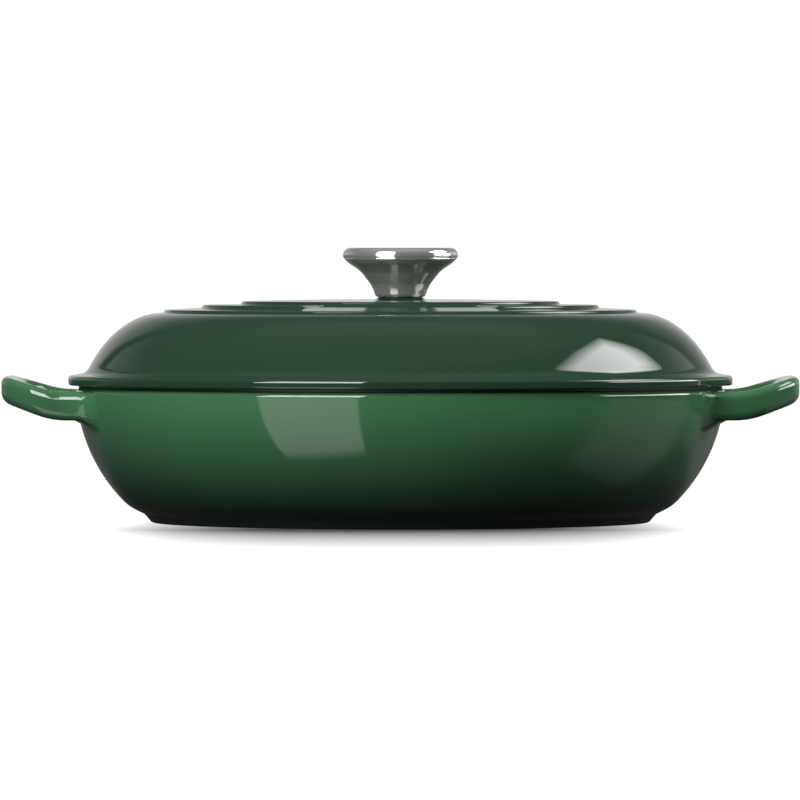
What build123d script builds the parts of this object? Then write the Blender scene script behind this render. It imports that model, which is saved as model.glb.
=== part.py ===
from build123d import *

import os
from math import atan, atan2, cos, degrees, radians, sin, sqrt

# Braiser: a shallow enamelled cast-iron pot with two looped handles, a domed lid with
# three terraced rings and a bare plaque, and a hollow steel knob screwed on from below.
# Millimetres. The pot stands on z = 0 with its centre on the Z axis; a handle points to
# +X and the other to -X; the lid's plaque faces -Y. Angles are in degrees.

# Pot: the outside of its side, from the rim down to the foot
rim_radius = 154.5
rim_height = 64.0
rim_draft = 1.5
hip_run = 6.2
hip_rise = 4.5
neck_run = 4.1
neck_rise = 2.0
foot_inset = 36.2
foot_height = 4.0
foot_flare = 3.5
foot_bevel = 1.5

# Pot: walls, rim and underside
pot_wall = 4.0
floor_thickness = 3.8
rim_bevel = 1.1
inner_rim_bevel = 0.8
base_recess = 0.8
foot_land = 14.0

# Handles, cast in one with the pot
handle_reach = 35.0
handle_root_width = 108.0
handle_end_width = 100.0
handle_strap = 10.0
handle_bow = 2.5
handle_corner = 21.0
eye_corner = 12.0
handle_drop = 1.3
handle_root_depth = 13.5
handle_lift = 16.8
handle_under_lift = 19.5
handle_bend = 40.0
bend_start = 2.8
handle_overrun = 25.0
handle_round_share = 0.38
handle_blend = 6.0

# Lid: seat on the pot
lid_overhang = 3.5
lid_gap = 1.3
lid_play = 1.5
seat_inset = 1.5
skirt_depth = 5.0
skirt_thickness = 2.5
skirt_round = 1.0

# Lid: flange, side and dome, outside
flange_edge = 4.4
flange_run = 8.5
flange_rise = 1.37
flange_top_round = 1.6
flange_bottom_round = 1.0
side_blend = 6.3
side_lean = 30.9
side_length = 13.4
cheek_radius = 33.7
cheek_turn = 35.6
brow_radius = 43.8
brow_turn = 18.5
lid_wall = 3.5

# Lid: terraced rings, plaque, and the places for the knob and its screw
step_run = 2.1
step_rise = 1.5
outer_shelf_run = 16.0
outer_shelf_rise = 0.8
middle_shelf_run = 16.6
middle_shelf_rise = 0.25
crown_rise = 0.8
plaque_angle = 61.0
boss_radius = 10.4
boss_rise = 1.0
boss_flare = 3.3
pad_radius = 12.0
pad_depth = 1.5
pad_flare = 2.0

# Knob: a spun body and a rolled cap, both of sheet
knob_radius = 27.4
knob_height = 23.6
knob_sheet = 1.2
roll_radius = 3.4
crease_drop = 1.4
cap_dish = 0.5
lip_run = 4.35
lip_rise = 3.8
flare_radius = 23.7
waist_radius = 12.2
waist_height = 1.5

# Fixing: threaded bush in the knob, screw and washers under the lid
screw_diameter = 6.0
screw_length = 20.0
thread_clearance = 0.05
lid_hole_clearance = 0.5
washer_clearance = 0.2
head_diameter = 12.0
head_height = 4.6
head_round = 2.2
recess_width = 1.3
recess_length = 6.4
recess_depth = 2.4
flat_washer_diameter = 18.0
flat_washer_thickness = 1.6
lock_washer_diameter = 11.8
lock_washer_thickness = 1.6
lock_washer_slit = 1.0
lock_washer_slant = 25.0
bush_diameter = 11.0
bush_flange_diameter = 17.0
bush_flange_thickness = 2.0
bush_length = 13.0
bush_clearance = 0.05

# Places that several pieces share
foot_radius = rim_radius - foot_inset
hip_radius = foot_radius + foot_flare + neck_run + hip_run
hip_height = foot_height + neck_rise + hip_rise
flange_radius = rim_radius + lid_overhang
flange_height = rim_height + lid_gap
skirt_radius = rim_radius - pot_wall - lid_play
shank_radius = screw_diameter / 2
lid_hole_radius = shank_radius + lid_hole_clearance
washer_hole_radius = shank_radius + washer_clearance
bush_radius = bush_diameter / 2
roll_centre_radius = knob_radius - roll_radius


def leaning(angle, down=False):
    """A direction in the (radius, height) plane that leans inwards from upright."""
    return Vector(-sin(radians(angle)), -cos(radians(angle)) if down else cos(radians(angle)))


def spin(edges):
    """Turn a closed (radius, height) outline about the Z axis."""
    return revolve(Plane.XZ * make_face(edges), Axis.Z)


def chain(*points):
    """Straight lines through (radius, height) points."""
    return [Line(start, end) for start, end in zip(points, points[1:])]


def ease_corners(face, corners, ease=fillet):
    """Round or bevel the corners of a flat face: each entry is a point and its size."""
    for point, size in corners:
        near = face.vertices().sort_by_distance(Vector(*point))[0]
        face = ease(near, size)
    return face


def pot_side():
    """The outside curve from the rim to the neck above the foot: two arcs that run on."""
    wall = TangentArc((rim_radius, rim_height), (hip_radius, hip_height),
                      tangent=leaning(rim_draft, down=True))
    hip = TangentArc(wall @ 1, (hip_radius - hip_run, hip_height - hip_rise), tangent=wall % 1)
    return wall, hip


def pot_blank(extra):
    """The pot without its hollow, standing higher than its rim by extra."""
    wall, hip = pot_side()
    top = Vector(rim_radius, rim_height) - leaning(rim_draft, down=True) * extra
    neck_foot = (foot_radius + foot_flare, foot_height)
    land = (foot_radius - foot_land, 0)
    recess = (foot_radius - foot_land - base_recess, base_recess)
    outline = [Line(top, wall @ 0), wall, hip]
    outline += chain(hip @ 1, neck_foot, (foot_radius, 0), land, recess, (0, base_recess),
                     (0, top.Y), top)
    face = ease_corners(make_face(outline), [((foot_radius, 0), foot_bevel)], chamfer)
    return revolve(Plane.XZ * face, Axis.Z)


def pot_hollow(extra):
    """The inside of the pot, parallel to its outside, with a wide sweep into the floor."""
    wall, _ = pot_side()
    inward = Vector(-(wall % 1).Y, (wall % 1).X) * -pot_wall
    floor = base_recess + floor_thickness
    mouth = Vector(rim_radius - pot_wall, rim_height)
    side = TangentArc(mouth, wall @ 1 + inward, tangent=leaning(rim_draft, down=True))
    lean = degrees(atan2(-(side % 1).X, -(side % 1).Y))
    sweep_radius = ((side @ 1).Y - floor) / (1 - sin(radians(lean)))
    sweep = JernArc(side @ 1, side % 1, sweep_radius, lean - 90)
    top = mouth - leaning(rim_draft, down=True) * extra
    return spin([Line(top, mouth), side, sweep]
                + chain(sweep @ 1, (0, floor), (0, top.Y), top))


def rim_trimmer(reach, extra):
    """What is cut off above the rim: it leaves a flat rim with both edges bevelled."""
    mouth = rim_radius - pot_wall
    low = rim_height - rim_bevel
    inner = (mouth, rim_height - inner_rim_bevel)
    return spin(chain(inner, (mouth + inner_rim_bevel, rim_height),
                      (rim_radius - rim_bevel, rim_height), (rim_radius, low),
                      (rim_radius + reach, low), (rim_radius + reach, low + extra),
                      (0, low + extra), (0, rim_height - inner_rim_bevel), inner))


def loop_plan(half_root, half_end, reach, bow, corner):
    """Half of the handle's outline from above: straight sides, a bowed end, round corners."""
    root = rim_radius - handle_overrun
    end = rim_radius + reach
    face = make_face([Line((root, -half_root), (end - bow, -half_end)),
                      ThreePointArc((end - bow, -half_end), (end, 0), (end - bow, half_end)),
                      Line((end - bow, half_end), (root, half_root)),
                      Line((root, half_root), (root, -half_root))])
    return ease_corners(face, [((end - bow, -half_end), corner),
                               ((end - bow, half_end), corner)])


def loop_side():
    """The handle from the side: level at its root, then swept up and out."""
    root = rim_radius - handle_overrun
    bend = rim_radius + bend_start
    top_level = rim_height - handle_drop
    low_level = top_level - handle_root_depth
    length = 2 * handle_reach
    top = JernArc((bend, top_level), (1, 0), handle_bend, handle_lift)
    low = JernArc((bend, low_level), (1, 0), handle_bend, handle_under_lift)
    top_end = top @ 1 + (top % 1) * length
    low_end = low @ 1 + (low % 1) * length
    return make_face([Line((root, top_level), top @ 0), top]
                     + chain(top @ 1, top_end, low_end, low @ 1)
                     + [low] + chain(low @ 0, (root, low_level), (root, top_level)))


def handle():
    """A looped handle towards +X, rounded all over, before it is joined to the pot."""
    outer = loop_plan(handle_root_width / 2, handle_end_width / 2, handle_reach, handle_bow,
                      handle_corner)
    eye = loop_plan(handle_root_width / 2 - handle_strap, handle_end_width / 2 - handle_strap,
                    handle_reach - handle_strap, handle_bow, eye_corner)
    band = extrude(Plane.XZ * loop_side(), amount=handle_root_width, both=True)
    loop = (extrude(outer - eye, amount=2 * rim_height) & band).solids()[0]
    root = rim_radius - handle_overrun
    at_root = [edge for edge in loop.edges() if edge.bounding_box().max.X < root + handle_strap]
    upright = [edge for edge in loop.edges() if abs((edge % 0.5).Z) > 1 - handle_round_share]
    skipped = at_root + upright
    rounded = [edge for edge in loop.edges() if edge not in skipped]
    return loop.fillet(handle_round_share * handle_strap, rounded)


def pot():
    """The pot casting: both handles blended into the wall, then hollowed and trimmed."""
    extra = 2 * handle_blend
    blank = pot_blank(extra)
    casting = blank
    near = handle_strap / 1000
    for loop in (handle(), handle().rotate(Axis.Z, 180)):
        casting = casting + loop
        joint = [edge for edge in casting.edges()
                 if blank.distance_to(edge @ 0.5) < near and loop.distance_to(edge @ 0.5) < near]
        casting = casting.fillet(handle_blend, joint)
    hollowed = casting - pot_hollow(2 * extra)
    return hollowed - rim_trimmer(bend_start + handle_blend, 2 * extra)


def lid_side(inset):
    """The lid's outside from its flange up to the outer ring, or a curve inside it by inset."""
    foot = Vector(flange_radius - flange_run, flange_height + flange_edge + flange_rise)
    across = Vector(-cos(radians(side_lean)), -sin(radians(side_lean)))
    start = foot + across * inset
    side = Line(start, start + leaning(side_lean) * side_length)
    cheek = JernArc(side @ 1, side % 1, cheek_radius - inset, cheek_turn)
    brow = JernArc(cheek @ 1, cheek % 1, brow_radius - inset, brow_turn)
    return [side, cheek, brow]


# Heights and radii that the lid's curve leads to
dome_edge = lid_side(0)[-1] @ 1
outer_shelf = dome_edge + Vector(-step_run, step_rise)
middle_shelf = outer_shelf + Vector(-outer_shelf_run - step_run, outer_shelf_rise + step_rise)
inner_foot = middle_shelf + Vector(-middle_shelf_run, middle_shelf_rise)
crown_edge = inner_foot + Vector(-step_run, step_rise)
crown_height = crown_edge.Y + crown_rise
knob_seat = crown_height + boss_rise
pad_height = crown_height - lid_wall - pad_depth
crease_height = knob_seat + knob_height - roll_radius - crease_drop


def step_up(foot):
    """A rounded step that climbs inwards from a point: two equal arcs, one after the other."""
    turn = 2 * degrees(atan(step_rise / step_run))
    radius = step_run / (2 * sin(radians(turn)))
    low = JernArc(foot, (-1, 0), radius, -turn)
    return [low, JernArc(low @ 1, low % 1, radius, turn)]


def lid_casting():
    """The turned lid, without its plaque: flange, dome and rings above, skirt and pad below."""
    boss_foot = (boss_radius + boss_flare, crown_height)
    boss_top = (boss_radius, knob_seat)
    flange_corner = (flange_radius, flange_height + flange_edge)
    seat_edge = (rim_radius - seat_inset, rim_height)
    skirt_base = rim_height - skirt_depth
    outer = lid_side(0)
    inner = lid_side(lid_wall)
    ceiling = TangentArc(inner[-1] @ 1, (pad_radius + pad_flare, crown_height - lid_wall),
                         tangent=inner[-1] % 1)
    middle_foot = middle_shelf - Vector(-step_run, step_rise)
    outline = outer + step_up(dome_edge) + chain(outer_shelf, middle_foot)
    outline += step_up(middle_foot) + chain(middle_shelf, inner_foot) + step_up(inner_foot)
    outline += [TangentArc(boss_foot, crown_edge, tangent=(1, 0)),
                TangentArc(boss_foot, boss_top, tangent=(-1, 0))]
    outline += chain(boss_top, (lid_hole_radius, knob_seat), (lid_hole_radius, pad_height),
                     (pad_radius, pad_height), ceiling @ 1)
    outline += [ceiling] + inner
    outline += chain(inner[0] @ 0, (skirt_radius - skirt_thickness, skirt_base),
                     (skirt_radius, skirt_base), (skirt_radius, rim_height), seat_edge,
                     (seat_edge[0], flange_height), (flange_radius, flange_height),
                     flange_corner, outer[0] @ 0)
    face = ease_corners(make_face(outline), [
        (outer[0] @ 0, side_blend), (flange_corner, flange_top_round),
        ((flange_radius, flange_height), flange_bottom_round),
        ((skirt_radius, skirt_base), skirt_round),
        ((skirt_radius - skirt_thickness, skirt_base), skirt_round)])
    return revolve(Plane.XZ * face, Axis.Z)


def lid():
    """The lid: in front, a smooth bare plaque runs over the outer and middle shelves."""
    casting = lid_casting()
    width = outer_shelf.X - inner_foot.X
    middle = (outer_shelf.X + inner_foot.X) / 2
    sweep = plaque_angle - degrees(width / middle)
    arc = CenterArc((0, 0), middle, -90 - sweep / 2, sweep)
    patch = extrude(SlotArc(arc, width), amount=2 * knob_seat)
    sunk = Vector(0, step_rise)
    fill = spin(chain(outer_shelf, inner_foot, inner_foot - sunk, outer_shelf - sunk,
                      outer_shelf))
    cut = spin(chain(outer_shelf, inner_foot, inner_foot + sunk * 2, outer_shelf + sunk * 4,
                     outer_shelf))
    return casting + (fill & patch) - (cut & patch)


def knob_side():
    """The knob's outside from its waist to the crease under the cap: hollow, then full."""
    crease_radius = roll_centre_radius + sqrt(roll_radius ** 2 - crease_drop ** 2)
    crease = Vector(crease_radius, crease_height)
    flare = RadiusArc((waist_radius, knob_seat + waist_height),
                      crease - Vector(lip_run, lip_rise), flare_radius)
    return [flare, TangentArc(flare @ 1, crease, tangent=flare % 1)]


def knob_body():
    """The spun body: a rounded base with a hole for the bush, a flared side, an open top."""
    flare, lip = knob_side()
    lean = degrees(atan2((flare % 0).Y, (flare % 0).X))
    base = JernArc(flare @ 0, flare % 0 * -1, waist_height / (1 - cos(radians(lean))), -lean)
    inside_radius = roll_centre_radius + sqrt((roll_radius - knob_sheet) ** 2 - crease_drop ** 2)
    inward = [Vector(-(flare % end).Y, (flare % end).X) * knob_sheet for end in (0, 1)]
    inner_flare = RadiusArc(flare @ 0 + inward[0], flare @ 1 + inward[1],
                            flare_radius + knob_sheet)
    inner_lip = TangentArc(inner_flare @ 1, (inside_radius, crease_height),
                           tangent=inner_flare % 1)
    hole = bush_radius + bush_clearance
    plate = knob_seat + knob_sheet
    return spin([base, flare, lip, inner_flare, inner_lip]
                + chain(lip @ 1, inner_lip @ 1)
                + chain(inner_flare @ 0, ((inner_flare @ 0).X, plate), (hole, plate),
                        (hole, knob_seat), base @ 1))


def knob_cap():
    """The cap: a rolled edge that stands on the body, closed by a slightly dished top."""
    level = crease_height + crease_drop
    start = -degrees(atan2(crease_drop, sqrt(roll_radius ** 2 - crease_drop ** 2)))
    roll = CenterArc((roll_centre_radius, level), roll_radius, start, 90 - start)
    inside = roll_radius - knob_sheet
    crease = (roll_centre_radius + sqrt(inside ** 2 - crease_drop ** 2), crease_height)
    return spin([roll] + chain(roll @ 1, (0, (roll @ 1).Y - cap_dish),
                               (0, level + inside - cap_dish),
                               (roll_centre_radius, level + inside),
                               (roll_centre_radius + inside, level), crease, roll @ 0))


def ring(inner, outer, low, high):
    """A plain ring between two radii and two heights."""
    return spin(chain((inner, low), (outer, low), (outer, high), (inner, high), (inner, low)))


def knob_bush():
    """The threaded bush: its foot passes through the knob's base and its flange rests on it."""
    bore = shank_radius + thread_clearance
    plate = knob_seat + knob_sheet
    barrel = ring(bore, bush_radius, knob_seat, knob_seat + bush_length)
    return barrel + ring(bore, bush_flange_diameter / 2, plate, plate + bush_flange_thickness)


def flat_washer():
    return ring(washer_hole_radius, flat_washer_diameter / 2,
                pad_height - flat_washer_thickness, pad_height)


def lock_washer():
    """The spring washer, pressed flat, with its slanting slit towards +X."""
    top = pad_height - flat_washer_thickness
    washer = ring(washer_hole_radius, lock_washer_diameter / 2, top - lock_washer_thickness, top)
    slit = Box(lock_washer_diameter, lock_washer_slit, 4 * lock_washer_thickness)
    slit = slit.rotate(Axis.X, lock_washer_slant)
    return washer - slit.translate((lock_washer_diameter / 2, 0, top - lock_washer_thickness / 2))


def knob_screw():
    """The pan-head screw: it stands head down, with a cross recess in the head."""
    seat = pad_height - flat_washer_thickness - lock_washer_thickness
    head_radius = head_diameter / 2
    face = make_face(chain((0, seat - head_height), (head_radius, seat - head_height),
                           (head_radius, seat), (shank_radius, seat),
                           (shank_radius, seat + screw_length), (0, seat + screw_length),
                           (0, seat - head_height)))
    face = ease_corners(face, [((head_radius, seat - head_height), head_round)])
    screw = revolve(Plane.XZ * face, Axis.Z)
    blade = Box(recess_length, recess_width, 2 * recess_depth)
    cross = blade + blade.rotate(Axis.Z, 90)
    return screw - cross.translate((0, 0, seat - head_height))


pieces = {
    "pot": pot,
    "lid": lid,
    "knob_body": knob_body,
    "knob_cap": knob_cap,
    "knob_bush": knob_bush,
    "knob_screw": knob_screw,
    "screw_flat_washer": flat_washer,
    "screw_lock_washer": lock_washer,
}

if __name__ == "__main__":
    os.makedirs("parts", exist_ok=True)
    for name, make in pieces.items():
        export_step(make(), f"parts/{name}.step")
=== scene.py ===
"""A braiser of enamelled cast iron, with its lid and steel knob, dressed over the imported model."""

import functools
import math

import bmesh
import bpy
import numpy as np
from bpy.props import FloatProperty, FloatVectorProperty, IntProperty, PointerProperty
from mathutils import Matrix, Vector


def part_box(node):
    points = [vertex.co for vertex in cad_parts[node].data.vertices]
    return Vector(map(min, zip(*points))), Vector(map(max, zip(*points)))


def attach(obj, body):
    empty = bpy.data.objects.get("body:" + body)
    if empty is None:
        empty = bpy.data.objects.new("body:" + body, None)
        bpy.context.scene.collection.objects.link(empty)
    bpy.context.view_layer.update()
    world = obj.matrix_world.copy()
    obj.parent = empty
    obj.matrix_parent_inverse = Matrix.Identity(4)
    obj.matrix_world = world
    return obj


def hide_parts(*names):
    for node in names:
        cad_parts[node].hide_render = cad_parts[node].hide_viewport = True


bl_info = {
    "name": "Enamelled braiser",
    "version": (1, 0, 0),
    "blender": (4, 5, 0),
    "location": "View3D > Sidebar > Braiser",
    "description": "Dresses a shallow cast-iron pot, its lid and its steel knob",
    "category": "Object",
}

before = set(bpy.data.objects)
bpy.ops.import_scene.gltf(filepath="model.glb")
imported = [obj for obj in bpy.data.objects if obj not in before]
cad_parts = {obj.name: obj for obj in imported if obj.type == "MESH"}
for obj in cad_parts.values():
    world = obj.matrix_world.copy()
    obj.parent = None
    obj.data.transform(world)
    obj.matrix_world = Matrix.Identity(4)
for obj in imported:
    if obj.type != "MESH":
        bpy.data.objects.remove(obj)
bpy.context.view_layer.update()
pot_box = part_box("pot")
lid_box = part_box("lid")
knob_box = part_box("knob_body")
cap_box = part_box("knob_cap")

MM = 0.001


def from_hex(code):
    """An sRGB hex colour as linear red, green and blue."""
    parts = [int(code[place:place + 2], 16) / 255 for place in (1, 3, 5)]
    return [c / 12.92 if c <= 0.04045 else ((c + 0.055) / 1.055) ** 2.4 for c in parts]


def length(name, description, millimetres):
    """A size that the panel shows in the scene's unit of length."""
    return FloatProperty(name=name, description=description, default=millimetres * MM,
                         min=0.0, unit="LENGTH", precision=5)


def angle(name, description, degrees):
    """An angle that the panel shows in degrees."""
    return FloatProperty(name=name, description=description, default=math.radians(degrees),
                         unit="ROTATION")


def colour(name, description, code):
    """A colour, given as sRGB hex."""
    return FloatVectorProperty(name=name, description=description, subtype="COLOR", size=3,
                               min=0.0, max=1.0, default=from_hex(code))


class PotSizes(bpy.types.PropertyGroup):
    """Sizes of the pot casting."""

    rim_radius: length("Rim radius", "Outside radius at the rim", 154.5)
    rim_height: length("Rim height", "Height of the flat rim", 64.0)
    wall: length("Wall", "Thickness of the side", 4.0)
    floor_level: length("Floor level", "Height of the cooking floor", 4.6)
    foot_radius: length("Foot radius", "Outside radius of the flat land it stands on", 118.3)
    handle_end: length("Handle end", "Outer end of a handle from the axis",
                       pot_box[1].x / MM)
    handle_root_width: length("Handle root width", "Width across a handle at the pot", 108.0)
    handle_end_width: length("Handle end width", "Width across a handle's outer end", 100.0)
    strap: length("Strap", "Width of the handle's strap from above", 10.0)
    blend: length("Blend", "Radius where a handle flows into the wall", 6.0)
    columns: IntProperty(name="Columns", description="Faces round the pot", default=256, min=64)


class LidSizes(bpy.types.PropertyGroup):
    """Sizes of the lid casting."""

    flange_radius: length("Flange radius", "Outside radius of the lid", lid_box[1].x / MM)
    wall: length("Wall", "Thickness of the lid", 3.5)
    step_run: length("Step run", "Width of each rounded step between the rings", 2.1)
    step_rise: length("Step rise", "Height of each step", 1.5)
    plaque_angle: angle("Plaque angle", "Angle that the bare plaque takes up", 59.0)
    plaque_edge: length("Plaque edge", "Width over which the plaque's edge is rounded", 1.3)
    segments: IntProperty(name="Segments", description="Faces round the lid", default=256, min=64)


class KnobSizes(bpy.types.PropertyGroup):
    """Sizes of the knob."""

    radius: length("Radius", "Radius of the rolled edge", cap_box[1].x / MM)
    waist: length("Waist", "Radius above the rounded base", 12.2)
    roll: length("Roll", "Radius of the rolled edge's section", 3.4)
    sheet: length("Sheet", "Thickness of the steel", 1.2)
    dish: length("Dish", "How deep the top is dished", 0.5)
    segments: IntProperty(name="Segments", description="Faces round the knob", default=160, min=48)


class Finishes(bpy.types.PropertyGroup):
    """Colours of the enamels and metals."""

    pot_green: colour("Pot green", "Outside of the pot near the rim", "#335d3e")
    pot_shade: colour("Pot shade", "Outside of the pot near the foot", "#111914")
    lid_green: colour("Lid green", "Outside of the lid", "#192d20")
    sand: colour("Sand", "Inside of the pot and the lid", "#cdbc98")
    black: colour("Black", "Matt enamel of the rim and the lid's seat", "#141516")
    steel: colour("Steel", "Polished stainless steel", "#c9c8c6")
    zinc: colour("Zinc", "Plain and spring steel under the lid", "#9a9a98")


class Studio(bpy.types.PropertyGroup):
    """The camera, the floor and the lights."""

    eye_height: length("Eye height", "Height of the camera", 133.0)
    eye_distance: length("Eye distance", "Distance of the camera", 4500.0)
    aim_height: length("Aim height", "Height that the camera looks at", 58.1)
    aim_side: length("Aim side", "How far right of the axis the camera looks", -0.2)
    lens: FloatProperty(name="Lens", description="Focal length on a 36 mm frame", default=425.5,
                        unit="CAMERA")
    floor_size: length("Floor size", "Side of the floor", 9000.0)


# Sections are drawn in millimetres as (radius, height), with angles in degrees

POT_HEADING = 268.5  # The pot's side leaves the rim almost straight down
POT_NECK, POT_HIP = (7.6, 6.0), (13.8, 10.5)  # Under the side, as offsets from the foot
RIM_ROUNDING = 2.2


def toward(heading):
    """The step of length 1 along a heading."""
    return np.array((math.cos(math.radians(heading)), math.sin(math.radians(heading))))


def arc(start, heading, radius, turn, most=2.5):
    """Points of an arc that leaves start along heading and turns left, and its last heading."""
    coarse = 10.0 if radius < 3.0 else 5.0
    steps = max(2, math.ceil(abs(turn) / coarse - 1e-6),
                math.ceil(radius * math.radians(abs(turn)) / most - 1e-6))
    first = heading - math.copysign(90, turn)
    angles = np.radians(first + turn * np.linspace(0, 1, steps + 1))
    centre = np.array(start) - radius * toward(first)
    return centre + radius * np.stack((np.cos(angles), np.sin(angles)), 1), heading + turn


def bend(start, heading, end, most=2.5):
    """The arc that leaves start along heading and ends on end."""
    across, up = np.array(end) - np.array(start)
    off = (math.degrees(math.atan2(up, across)) - heading + 180) % 360 - 180
    radius = math.hypot(across, up) / (2 * math.sin(math.radians(abs(off))))
    return arc(start, heading, radius, 2 * off, most)


def bow(start, end, radius):
    """The arc of a radius from start to end that curves to the right, and its last heading."""
    across, up = np.array(end) - np.array(start)
    half = math.degrees(math.asin(math.hypot(across, up) / (2 * radius)))
    heading = math.degrees(math.atan2(up, across)) + half
    return arc(start, heading, radius, -2 * half)


def outline(*parts, most=2.5, near=0.3):
    """Joins points, (radius, height, rounding) corners and runs of points into one section."""
    places, roundings, chords = [], [], []
    for part in parts:
        corner = np.ndim(part) == 1
        run = [np.array(part[:2], float)] if corner else list(part)
        places += run
        roundings += [part[2] if corner and len(part) > 2 else 0.0] + [0.0] * (len(run) - 1)
        chords += [False] + [True] * (len(run) - 1)
    rounded = [(places[0], False)]
    for before, place, after, rounding, chord in zip(places, places[1:], places[2:],
                                                     roundings[1:], chords[1:]):
        if not rounding:
            rounded.append((place, chord))
            continue
        come, leave = place - before, after - place
        heading = math.degrees(math.atan2(come[1], come[0]))
        turn = math.degrees(math.atan2(come[0] * leave[1] - come[1] * leave[0], come @ leave))
        back = rounding * math.tan(math.radians(abs(turn)) / 2)
        fillet, _ = arc(place - come / np.linalg.norm(come) * back, heading, rounding, turn)
        rounded += [(point, k > 0) for k, point in enumerate(fillet)]
    rounded.append((places[-1], chords[-1]))
    # A straight run gets a row of faces near each end, so that its shading stays flat
    spaced = [rounded[0][0]]
    for end, chord in rounded[1:]:
        start = spaced[-1]
        run = np.linalg.norm(end - start)
        if run < 1e-4:
            continue
        if run > 1.01 * most or run > 4 * near and not chord:
            steps = max(1, math.ceil((run - 2 * near) / most))
            shares = near / run + (1 - 2 * near / run) * np.linspace(0, 1, steps + 1)
            spaced += [start + share * (end - start) for share in shares]
        spaced.append(end)
    return np.array(spaced)


def add(tree, kind, values=None, **settings):
    """Adds a node: settings are its own, and values go to its inputs or are linked there."""
    node = tree.nodes.new(kind)
    for name, value in settings.items():
        setattr(node, name, value)
    for key, value in (values or {}).items():
        if isinstance(value, bpy.types.NodeSocket):
            tree.links.new(value, node.inputs[key])
        else:
            node.inputs[key].default_value = value
    return node


def new_material(name):
    """A material with an empty tree and its surface output, the same one for the same name."""
    material = bpy.data.materials.get(name) or bpy.data.materials.new(name)
    material.use_nodes = True
    material.node_tree.nodes.clear()
    return material, material.node_tree, add(material.node_tree, "ShaderNodeOutputMaterial")


def maths(tree, operation, *terms):
    """The result of an operation on terms, which are numbers or sockets."""
    return add(tree, "ShaderNodeMath", dict(enumerate(terms)), operation=operation).outputs[0]


def span(tree, value, low, high, start=0.0, end=1.0, curve="LINEAR"):
    """Maps value from between low and high to between start and end, and holds it there."""
    return add(tree, "ShaderNodeMapRange", {0: value, 1: low, 2: high, 3: start, 4: end},
               interpolation_type=curve).outputs[0]


def noise(tree, place, spacing, detail):
    """Smooth noise whose waves are about spacing long."""
    return add(tree, "ShaderNodeTexNoise", {"Vector": place, "Scale": 1 / spacing,
                                            "Detail": detail}).outputs[0]


def gradient(tree, share, stops, curve):
    """The colour at share on a ramp of (position, colour) stops."""
    ramp = add(tree, "ShaderNodeValToRGB", {0: share})
    ramp.color_ramp.interpolation = curve
    while len(ramp.color_ramp.elements) < len(stops):
        ramp.color_ramp.elements.new(0.5)
    for element, (position, shade) in zip(ramp.color_ramp.elements, stops):
        element.position = position
        element.color = (*shade, 1.0)
    return ramp.outputs["Color"]


def levels(tree, value, stops):
    """A number that follows stops of (value, result) from -1 to 1."""
    return gradient(tree, span(tree, value, -1.0, 1.0),
                    [((place + 1) / 2, 3 * (result,)) for place, result in stops], "EASE")


def surface(tree, output, relief, depth, inputs):
    """Puts a principled surface with a bumpy relief on the output."""
    bump = add(tree, "ShaderNodeBump", {"Height": relief, "Distance": depth, "Strength": 1.0})
    shader = add(tree, "ShaderNodeBsdfPrincipled", inputs | {"Normal": bump.outputs[0]})
    tree.links.new(shader.outputs[0], output.inputs[0])


def glaze(name, stops, roughness, peel, low=0.0, high=0.0, handle_shade_drop=0.0):
    """Vitreous enamel: one colour, or stops from the height low to high; peel is its waviness.

    Beyond the pot's side, on the handles, the colour is that of a place lower by
    handle_shade_drop: painted shade that darkens the handles."""
    material, tree, output = new_material(name)
    place = add(tree, "ShaderNodeTexCoord").outputs["Object"]
    if len(stops) == 1:
        shade = (*stops[0][1], 1.0)
    else:
        axes = add(tree, "ShaderNodeSeparateXYZ", {0: place}).outputs
        # Melted glass pools unevenly over some 30 mm, which clouds its colour a little
        drift = span(tree, noise(tree, place, 30 * MM, 2.0), 0.25, 0.75, -1.5 * MM, 1.5 * MM)
        level = maths(tree, "ADD", axes["Z"], drift)
        # Painted shade: on the handles the colour is taken from lower down, which darkens them
        lower = span(tree, maths(tree, "ABSOLUTE", axes["X"]), 148 * MM, 166 * MM, 0.0, handle_shade_drop,
                     "SMOOTHSTEP")
        level = maths(tree, "SUBTRACT", level, lower)
        shade = gradient(tree, span(tree, level, low, high), stops, "B_SPLINE")
    # Orange peel: waves about 3 mm long, over a slow swell of about 22 mm
    waves = maths(tree, "MULTIPLY", noise(tree, place, 3 * MM, 1.0), peel * MM)
    waves = maths(tree, "MULTIPLY_ADD", noise(tree, place, 22 * MM, 1.0), 6 * peel * MM, waves)
    surface(tree, output, waves, 1.0, {"Base Color": shade, "Roughness": roughness, "IOR": 1.5})
    return material


def enamel_materials(finishes):
    """The enamels of the two castings."""
    # Green glass over a dark ground coat, sprayed to shade towards the foot, then fired:
    # deep and glossy, with soft-edged mirror highlights that ripple slightly. Its stops darken
    # towards the foot partly as painted shade, where the lower side turns away from the light
    green, shade = list(finishes.pot_green), list(finishes.pot_shade)
    stops = [(position, [a + (b - a) * share for a, b in zip(shade, green)])
             for position, share in ((0.0, 0.0), (0.15, 0.21), (0.3, 0.38), (0.62, 0.69),
                                     (1.0, 1.0))]
    # The last number darkens the handles with painted shade
    pot = glaze("Glossy green enamel on cast iron, shaded to black", stops, 0.055, 0.0009,
                6 * MM, 64 * MM, 17 * MM)
    lid = glaze("Glossy dark green enamel on cast iron", [(0.0, finishes.lid_green)],
                0.055, 0.0016)
    # The same glass in a warm off-white, which makes the inside bright and easy to see into
    sand = glaze("Glossy sand enamel on cast iron", [(0.0, finishes.sand)], 0.12, 0.0012)
    # Thin matt enamel where pot and lid meet: dull, dark and slightly grainy
    black = glaze("Matt black enamel on cast iron", [(0.0, finishes.black)], 0.45, 0.004)
    return pot, lid, sand, black


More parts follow.
